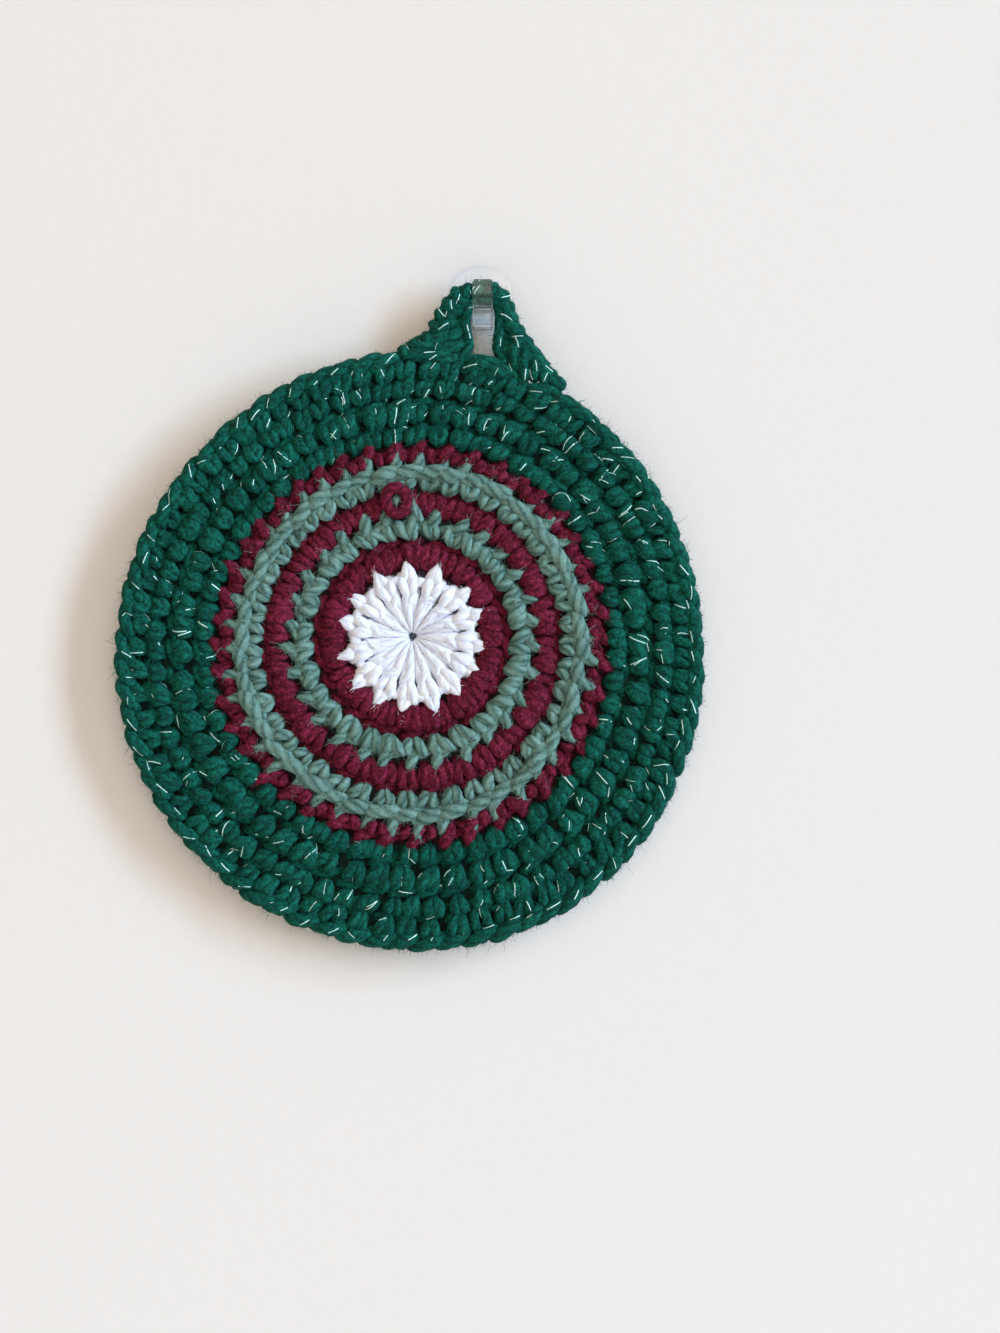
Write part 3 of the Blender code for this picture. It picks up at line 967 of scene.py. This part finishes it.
# %% Work the loop
WRAP_PITCH = 3.8 * MM
CHAIN_PITCH = 6.2 * MM
CHAIN_IN = 1.5 * MM
wraps = np.arange(2.5 * MM, band_long - 2.0 * MM, WRAP_PITCH)
chain = np.arange(3.0 * MM, band_long - 3.0 * MM, CHAIN_PITCH)
back_chain = chain + 0.4 * CHAIN_PITCH
bridge = even_yarn(smooth(np.array(BRIDGE)[None] * MM, 5), 1.5)
band = [
    band_strands(wraps, WRAP_PITCH, BAND_WRAP, 1.80),
    band_strands(chain, CHAIN_PITCH, BAND_CHAIN, 1.40, CHAIN_IN, 1.0, from_inner=True),
    band_strands(back_chain, CHAIN_PITCH, BAND_CHAIN, 1.30, CHAIN_IN, -1.0, from_inner=True),
    *band_tier(5.2, 4.2),
    *band_tier(8.4, 4.4),
    *band_tier(11.6, 4.4),
    *band_tier(14.8, 4.6),
    bridge,
    band_core(0.3),
    band_core(0.7),
]
loop_piece = add_yarn_piece("loop_stitches", band, "green")
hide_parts("hanging_loop")

# %% [markdown]
# ## Metal flecks
# The green yarn has a broken metal thread spun in. Where it surfaces it shows as short bright
# dashes that follow the twist. Painted into the yarn's finish they would all lie flat. So each
# fleck is a narrow strip laid on the yarn, proud of it by a tenth to a fifth of a millimetre, which
# bends with the strand and catches the light by itself.

# %% Flecks on the green yarn
FLECK_WIDE = 0.36 * MM
FLECK_POINTS = 7
FLECK_FAN = 0.75  # radians to either side of the front
FLECK_TURN = 1.5  # radians that it may wind round the yarn, from end to end
FLECK_SHORTEST = 0.7  # mm
FLECK_LONGER_BY = 3.1
FLECK_ACROSS = ((-1, 0.09), (0, 0.17), (1, 0.09))  # which side, mm off the yarn
GREEN_ROUNDS = ("round_green_1", "round_green_2", "round_green_3")
FLECKED = (
    # piece, which batch of its strands, flecks for each strand
    *((name, 0, 1.8) for name in GREEN_ROUNDS),
    *((name, 1, 0.5) for name in GREEN_ROUNDS),
    *(("edge_round", batch, each) for batch, each in ((0, 1.0), (1, 1.0), (2, 0.5))),
    *(("loop_stitches", batch, each) for batch, each in (
        (0, 0.7), (1, 0.4), (2, 0.5), (3, 0.6), (5, 0.6), (7, 0.6))),
)


def strip_on(yarn, strand, run, turn):
    """One strip: for each point along it, three points across, the middle one highest."""
    rings = yarn.core.shape[1]
    where = np.interp(run, yarn.run[strand], np.arange(rings))
    low = np.clip(where.astype(int), 0, rings - 2)
    part = np.clip(where - low, 0.0, 1.0)[:, None]
    lines = []
    for side, off in FLECK_ACROSS:
        around = turn + side * 0.5 * FLECK_WIDE / yarn.radius[strand, low]
        before, _ = yarn.surface(strand, low, around, off * MM)
        after, _ = yarn.surface(strand, low + 1, around, off * MM)
        lines.append(before + (after - before) * part)
    return np.stack(lines, axis=1)


def flecks_on(yarn, each):
    """Strips near the front of random strands. Of four tries each takes the foremost."""
    count, rings = yarn.core.shape[:2]
    total = int(count * each)
    strand = np.concatenate([random.permutation(count) for _ in range(1 + int(each))])[:total]
    tries = random.integers(2, rings - 6, (total, 4))
    foremost = np.argmin(yarn.core[strand[:, None], tries + 2, 1], axis=1)
    start = tries[np.arange(total), foremost]
    length = (FLECK_SHORTEST + FLECK_LONGER_BY * random.random(total) ** 0.7) * MM
    angle = math.pi + jitter(total, FLECK_FAN)
    share = np.linspace(0.0, 1.0, FLECK_POINTS)
    run = yarn.run[strand, start][:, None] + share * length[:, None]
    turns = [angle[i] + (share - 0.5) * jitter((), FLECK_TURN) for i in range(total)]
    return [strip_on(yarn, strand[i], run[i], turns[i]) for i in range(total)]


# %% A piece of flecks
strips = np.concatenate([flecks_on(batches_of[name][batch], each) for name, batch, each in FLECKED])
grid = np.arange(FLECK_POINTS * 3).reshape(FLECK_POINTS, 3)
cells = np.stack([grid[:-1, :-1], grid[1:, :-1], grid[1:, 1:], grid[:-1, 1:]], axis=-1)
faces = cells.reshape(-1, 4)[None] + grid.size * np.arange(len(strips))[:, None, None]
metal = Finish("metal_thread")
flecks = add_mesh("metal_flecks", strips.reshape(-1, 3), faces.reshape(-1, 4).tolist())
flecks.data.materials.append(metal.close(
    metal.shader(Base_Color=paint(198, 245, 240), Roughness=0.35, Specular_IOR_Level=0.8)))
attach(flecks, "root")
print("metal flecks:", len(strips))

# %% [markdown]
# ## Where a round was joined
# At the top of the second burgundy round a small ring of yarn stands up where the colours were
# changed, with a dot of sage inside it and a sage tail beside it. They could be painted on, but the
# ring casts a shadow, so they are three lengths of yarn laid over the stitches.

# %% The ring, the dot and the tail
RING_AT = -6.4  # degrees
RING_OUT = 42.2  # mm, as are the next two
RING_WIDE = 3.3
RING_LIFT = 4.2
RING_KNOTS = 10
RING_START = 0.6
JOIN_DOT = (
    # degrees, radius mm, lift mm
    (-7.6, 40.8, 2.2),
    (-6.8, 41.8, 3.7),
    (-6.2, 42.6, 3.7),
    (-5.4, 43.6, 2.2),
)
JOIN_TAIL = (
    (-1.6, 43.8, 0.6),
    (-0.3, 41.6, 3.3),
    (1.8, 38.6, 3.5),
    (4.4, 35.6, 1.8),
)


def join_yarn(shape, thick):
    degrees, rho, lift = columns(shape)
    return even_yarn(line_through(on_disc, np.radians(degrees), rho * MM, lift * MM, 5), thick)


# %% Lay the joins
ring_turn = math.tau * np.arange(RING_KNOTS + 1)[None] / RING_KNOTS + RING_START
ring_angle = math.radians(RING_AT) + RING_WIDE * np.sin(ring_turn) / RING_OUT
ring_rho = (RING_OUT + 1.25 * RING_WIDE * np.cos(ring_turn)) * MM
ring = even_yarn(line_through(on_disc, ring_angle, ring_rho, RING_LIFT * MM), 1.8)
add_yarn_piece("join_loop", [ring], "burgundy")
add_yarn_piece("join_tail", [join_yarn(JOIN_DOT, 1.1), join_yarn(JOIN_TAIL, 1.2)], "sage")

# %% [markdown]
# ## The ground behind the stitches
# Under the stitches that show, the fabric has its back strands. They are hardly seen, so sweeping
# them would double the mesh for little, and one thin uneven sheet stands for them.
# The sheet's colours are painted shade: each round's yarn, darkened as it looks deep between the stitches.

# %% A thin closed disc
def disc_sheet(name, rim, rings, turns, front, thick):
    """A closed thin disc: rim(theta) is its radius and front(theta, rho) the lift of its front.

    Its rings lie closer together towards the rim, where the cloth has its small folds.
    """
    theta = math.tau * np.arange(turns) / turns
    share = np.sin(0.5 * math.pi * np.arange(1, rings + 1) / rings)
    grid_t, grid_r = np.meshgrid(theta, share)
    grid_r = grid_r * rim(theta)
    lift = front(grid_t, grid_r)
    centre = np.zeros(2)
    centre_lift = lift[0].mean() - np.array([0.0, thick])
    verts = np.concatenate([
        on_disc(grid_t, grid_r, lift).reshape(-1, 3),
        on_disc(grid_t, grid_r, lift - thick).reshape(-1, 3),
        on_disc(centre, centre, centre_lift),
    ])
    size = rings * turns
    last = size - turns
    faces = []
    for ring in range(0, last, turns):
        for i in range(turns):
            a = ring + i
            b = ring + (i + 1) % turns
            c = b + turns
            d = a + turns
            faces.append((d, c, b, a))
            faces.append((size + a, size + b, size + c, size + d))
    for i in range(turns):
        j = (i + 1) % turns
        faces.append((2 * size, i, j))
        faces.append((2 * size + 1, size + j, size + i))
        faces.append((last + j, last + i, size + last + i, size + last + j))
    piece = add_mesh(name, verts, faces)
    from_middle = np.concatenate([grid_r.ravel(), grid_r.ravel(), centre]) / MM
    piece.data.attributes.new("rho", "FLOAT", "POINT").data.foreach_set("value", from_middle)
    print(f"{name}: {len(verts)} points, {len(faces)} faces")
    return piece


# %% Ground sheet
GROUND_INSET = 2.2 * MM
GROUND_THICK = 1.2 * MM
GROUND_WAVE = 0.3 * MM
GROUND_SCALE = 90.0
UNDER_STAR_SHADED = (
    # radius mm, colour of the painted shade: the hole, between the posts, under their tops, between the tips
    (0.0, paint(60, 62, 86)),
    (2.2, paint(196, 200, 232)),
    (14.0, paint(168, 172, 204)),
    (17.5, paint(84, 78, 94)),
)
# each round's yarn darkened into painted shade, as deep between its stitches
UNDER_ROUNDS_SHADED = {
    "burgundy": paint(34, 5, 14),
    "sage": paint(36, 54, 52),
    "green": paint(0, 38, 34),
}


def ground_shade_finish():
    """Each round's own colour, dark, as in the shade between its stitches."""
    f = Finish("ground_yarn_shaded")
    rho = f.node("Attribute", {"attribute_name": "rho"}, out="Fac")
    bands = (*UNDER_STAR_SHADED, *((row.inner, UNDER_ROUNDS_SHADED[row.yarn]) for row in ROWS))
    stops = [(radius / GROUND_SCALE, colour) for radius, colour in bands]
    shade = f.ramp(rho / GROUND_SCALE, stops, blend="CONSTANT")
    grain = f.noise(f.position(), 900.0)
    return f.close(f.shader(Base_Color=f.mix(grain * 0.5, shade, BLACK), Roughness=0.95))


def ground_rim(theta):
    return DISC_RADIUS - GROUND_INSET + 0.0 * theta


def ground_lift(theta, rho):
    return GROUND_WAVE * np.cos(40 * theta) * (rho / DISC_RADIUS) - GROUND_WAVE


ground = disc_sheet("crochet_ground", ground_rim, 40, 150, ground_lift, GROUND_THICK)
ground.data.materials.append(ground_shade_finish())
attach(ground, "root")
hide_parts("crochet_face")

# %% [markdown]
# ## The lining's finish
# The back is lined with a plain-woven cotton whose warp and weft differ a little in colour, so
# single threads show as fine streaks both ways. An image of cloth would do too, but it would have
# to be read from disk, and its weave would blur close up. Here two cosines make the weave, and
# noise stretched along each direction makes the streaks.

# %% Lining finish
THREAD = 0.60 * MM
SLUB_ACROSS = 1500.0
SLUB_ALONG = 190.0
SLUB_STOPS = ((0.36, BLACK), (0.64, WHITE))


def lining_finish():
    f = Finish("woven_lining")
    where = f.position()
    x, _, z = f.split(where)
    warp = (x * (math.tau / THREAD)).cosine() * 0.5 + 0.5
    weft = (z * (math.tau / THREAD)).cosine() * 0.5 + 0.5
    slub = f.ramp(f.noise(f.scaled(where, (SLUB_ACROSS, 1.0, SLUB_ALONG)), 1.0), SLUB_STOPS)
    cross = f.ramp(f.noise(f.scaled(where, (SLUB_ALONG, 1.0, SLUB_ACROSS)), 1.0), SLUB_STOPS)
    patch = f.noise(where, 45.0, detail=1.0)
    cloth = f.mix(patch, paint(122, 138, 166), paint(140, 146, 152))
    cloth = f.mix(slub, cloth, paint(180, 194, 216))
    cloth = f.mix(cross * 0.5, cloth, paint(200, 202, 212))
    cloth = f.mix(warp * weft * 0.25, cloth, paint(120, 126, 152))
    relief = f.bump(warp * 0.5 + weft * 0.5 + slub * 0.6 + cross * 0.6, 0.10 * MM)
    return f.close(f.shader(Base_Color=cloth, Roughness=0.92, Normal=relief))


# %% [markdown]
# ## The lining's shape
# The cloth is cut a little smaller than the disc, tucked under and sewn down by hand. Each stitch
# draws its edge in, between two stitches it puffs out, and here and there the spare width gathers
# into a fold that dies out towards the middle. A cloth simulation would find such folds, but not
# the same ones each run, so they are worked out here from a few random places.

# %% Seam and folds
LINING_RIM = DISC_RADIUS - 3.2 * MM
LINING_BACK = -2.7 * MM
LINING_DRIFT = Wave(5, 0.5 * MM, 20)
SEAM_STITCHES = 66
TUCK_END = 2.5  # mm in from the edge, as are the next two
PUFF_START = 1.5
PUFF_END = 7.0
FOLD_COUNT = 26
Fold = namedtuple("Fold", "at wide skew long high")


def some_fold():
    """A fold at a random place: how wide, how slanted, how far it reaches in and how high."""
    return Fold(
        at=math.tau * random.random(),
        wide=math.radians(1.2 + 1.6 * random.random()),
        skew=jitter((), 0.14),
        long=(9.0 + 22.0 * random.random()) * MM,
        high=(0.3 + 0.45 * random.random()) * MM,
    )


FOLDS = [some_fold() for _ in range(FOLD_COUNT)]
print("folds of the lining, mm long:", sorted(round(fold.long / MM) for fold in FOLDS))


def sewn(theta):
    """1 halfway between two stitches of the seam, 0 at a stitch. They aren't quite even."""
    return 0.5 + 0.5 * np.cos(SEAM_STITCHES * theta + 1.6 * np.sin(7 * theta))


def lining_rim(theta):
    """The edge is drawn in a little at each stitch."""
    return LINING_RIM + 0.9 * MM * (sewn(theta) ** 0.5 - 0.5) + wave(LINING_DRIFT, theta)


def lining_lift(theta, rho):
    """The cloth lies close behind the crochet, gathered here and there at its sewn edge."""
    waves = np.cos(1.3 + rho * np.sin(theta) / (9.0 * MM)) * np.cos(rho * np.cos(theta) / (34.0 * MM))
    deep = (LINING_RIM - rho) / MM
    lift = LINING_BACK - 0.20 * MM * (1.0 + waves)
    for fold in FOLDS:
        inward = np.clip(1.0 - deep * MM / fold.long, 0.0, 1.0)
        aside = (theta - fold.at - fold.skew * (1.0 - inward) + math.pi) % math.tau - math.pi
        lift = lift - fold.high * inward ** 0.8 * np.exp(-(aside / fold.wide) ** 2)
    tucked = np.clip(1.0 - deep / TUCK_END, 0.0, 1.0) ** 2
    puff = np.clip(deep / PUFF_START, 0.0, 1.0) ** 0.5 * np.clip(1.0 - deep / PUFF_END, 0.0, 1.0)
    return lift + 0.9 * MM * tucked - (0.15 + 0.45 * sewn(theta)) * MM * puff


# %% Lining
LINING_THICK = 0.8 * MM
lining = disc_sheet("cloth_lining", lining_rim, 34, 660, lining_lift, LINING_THICK)
lining.data.materials.append(lining_finish())
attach(lining, "root")
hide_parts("lining")
wall_gap = -max(v.co.y for v in lining.data.vertices)
print("the lining clears the wall by, mm:", round(1000 * wall_gap, 2))

# %% [markdown]
# ## The clear hook
# The hook keeps its solid from the imported model and gets only a finish. Clear plastic looks like
# glass, but light that has been through glass leaves grain on the wall behind it. So rays that only
# carry light or shadow pass through a plain see-through shader instead, whose colours paint the
# hook's shadow by place: a faint painted shadow on the left of the upper plate, none on the right,
# and a deeper painted shadow lower down, where the arm is.

# %% Hook finish
ARM_TOP = 1.5 * MM
LEFT_SHADOW_WIDE = 3.0 * MM
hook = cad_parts["wall_hook"]
plastic = Finish("clear_plastic")
glass = plastic.shader(
    Base_Color=paint(251, 253, 255), Roughness=0.04, IOR=1.47, Transmission_Weight=1.0)
x, _, z = plastic.split(plastic.position())
# painted shadow: light through the hook is dimmed below the arm's top and, less, on the plate's left
low_shadow, left_shadow, clear = (plastic.node("BsdfTransparent", None, {"Color": colour}) for colour in (
    (0.77, 0.80, 0.82, 1.0), (0.93, 0.96, 1.0, 1.0), WHITE))
plate = plastic.either(x / LEFT_SHADOW_WIDE - 0.7, left_shadow, clear)
through = plastic.either(plastic.math("GREATER_THAN", z, ARM_TOP), low_shadow, plate)
shadow = plastic.node("LightPath", out="Is Shadow Ray")
soft = plastic.node("LightPath", out="Is Diffuse Ray")
lighting = plastic.math("MAXIMUM", shadow, soft)
hook.data.materials.clear()
hook.data.materials.append(plastic.close(plastic.either(lighting, glass, through)))

# %% [markdown]
# The flat sizes are those of the finished disc and of the lining as sewn, each taken as an ellipse.

# %% [markdown]
# ## The wall and the floor
# The pot holder hangs on a light painted wall with a faint grain. A box for a room would hide the
# back, so the wall is one plane that is clear from behind and casts no shadow. A floor far below it
# is out of the camera's sight and is there for views from other sides.

# %% Wall and floor
WALL_Y = 0.6 * MM
WALL_HIGH = 0.6
HALF_WIDE = 0.9
FLOOR_Z = -0.75
FLOOR_FRONT = -1.2
EDGES = (
    # name, y and z of the near or low edge, y and z of the far or high one
    ("wall", (WALL_Y, FLOOR_Z), (WALL_Y, WALL_HIGH)),
    ("floor", (FLOOR_FRONT, FLOOR_Z), (WALL_Y, FLOOR_Z)),
)


def wall_finish():
    f = Finish("painted_wall")
    grain = f.bump(f.noise(f.position(), 260.0, detail=4.0), 0.10 * MM)
    painted = f.shader(Base_Color=paint(235, 231, 228), Roughness=0.8, Normal=grain)
    back = f.node("NewGeometry", out="Backfacing")
    shadow = f.node("LightPath", out="Is Shadow Ray")
    return f.close(f.either(f.math("MAXIMUM", back, shadow), painted, f.node("BsdfTransparent")))


wall_paint = wall_finish()
for name, near, far in EDGES:
    corners = [(-HALF_WIDE, *near), (HALF_WIDE, *near), (HALF_WIDE, *far), (-HALF_WIDE, *far)]
    mesh = bpy.data.meshes.new(name)
    mesh.from_pydata(corners, [], [(0, 1, 2, 3)])
    mesh.materials.append(wall_paint)
    plane = bpy.data.objects.new(name, mesh)
    bpy.context.scene.collection.objects.link(plane)
print("the wall stands behind the hook's plate by, mm:", round(WALL_Y / MM, 2))

# %% [markdown]
# ## Light
# A window far to the right and in front gives cool light and the soft shadow on the wall at the
# left. A sun lamp would soften it evenly all round, but a window is tall, so it is a tall area lamp
# a long way off. A weak warm lamp stands for the room, one behind lights the back, and the world
# fills the rest.

# %% Lights
LIGHTS = (
    # name, place, width and height in m, watts, colour
    ("window", (8.6, -4.4, 2.3), (1.8, 8.0), 1150.0, (0.55, 0.77, 1.0)),
    ("room_fill", (0.4, -2.6, 1.4), (2.4, 2.4), 22.0, (1.0, 0.88, 0.74)),
    ("back_fill", (0.8, 2.2, 0.9), (2.0, 2.0), 40.0, (1.0, 0.97, 0.93)),
)
WORLD_COLOUR = (1.0, 0.85, 0.69, 1.0)
WORLD_STRENGTH = 0.52
for name, place, size, power, colour in LIGHTS:
    light = bpy.data.lights.new(name, "AREA")
    light.shape = "RECTANGLE"
    light.size, light.size_y = size
    light.energy = power
    light.color = colour
    lamp = bpy.data.objects.new(name, light)
    lamp.location = place
    aim = Vector((STAR_X, 0.0, STAR_Z)) - Vector(place)
    lamp.rotation_euler = aim.to_track_quat("-Z", "Y").to_euler()
    bpy.context.scene.collection.objects.link(lamp)
world = bpy.data.worlds.new("room")
world.use_nodes = True
background = world.node_tree.nodes["Background"]
background.inputs["Color"].default_value = WORLD_COLOUR
background.inputs["Strength"].default_value = WORLD_STRENGTH
bpy.context.scene.world = world
bpy.context.scene.view_settings.view_transform = "Standard"
print("lamps:", [name for name, *_ in LIGHTS])

# %% [markdown]
# ## Camera
# The photo was taken square on, from close by, so the camera looks straight at the wall. Its lens
# follows from how far off it stands and how much of the disc's plane one pixel of the photo covers,
# which is better than trying lenses by eye.

# %% Camera
PIXEL = 0.3017 * MM
FRAME_HIGH = 1333
VIEW_X = 5.8 * MM
VIEW_Z = -108.5 * MM
FACE_Y = -8.0 * MM
DISTANCE = 0.52
camera_data = bpy.data.cameras.new("camera")
camera_data.sensor_width = 36.0
camera_data.lens = camera_data.sensor_width * DISTANCE / (FRAME_HIGH * PIXEL)
camera_data.clip_start = 0.01
camera = bpy.data.objects.new("camera", camera_data)
camera.location = (VIEW_X, FACE_Y - DISTANCE, VIEW_Z)
camera.rotation_euler = (math.pi / 2, 0.0, 0.0)
bpy.context.scene.collection.objects.link(camera)
bpy.context.scene.camera = camera
print("lens, mm:", round(camera_data.lens, 1))
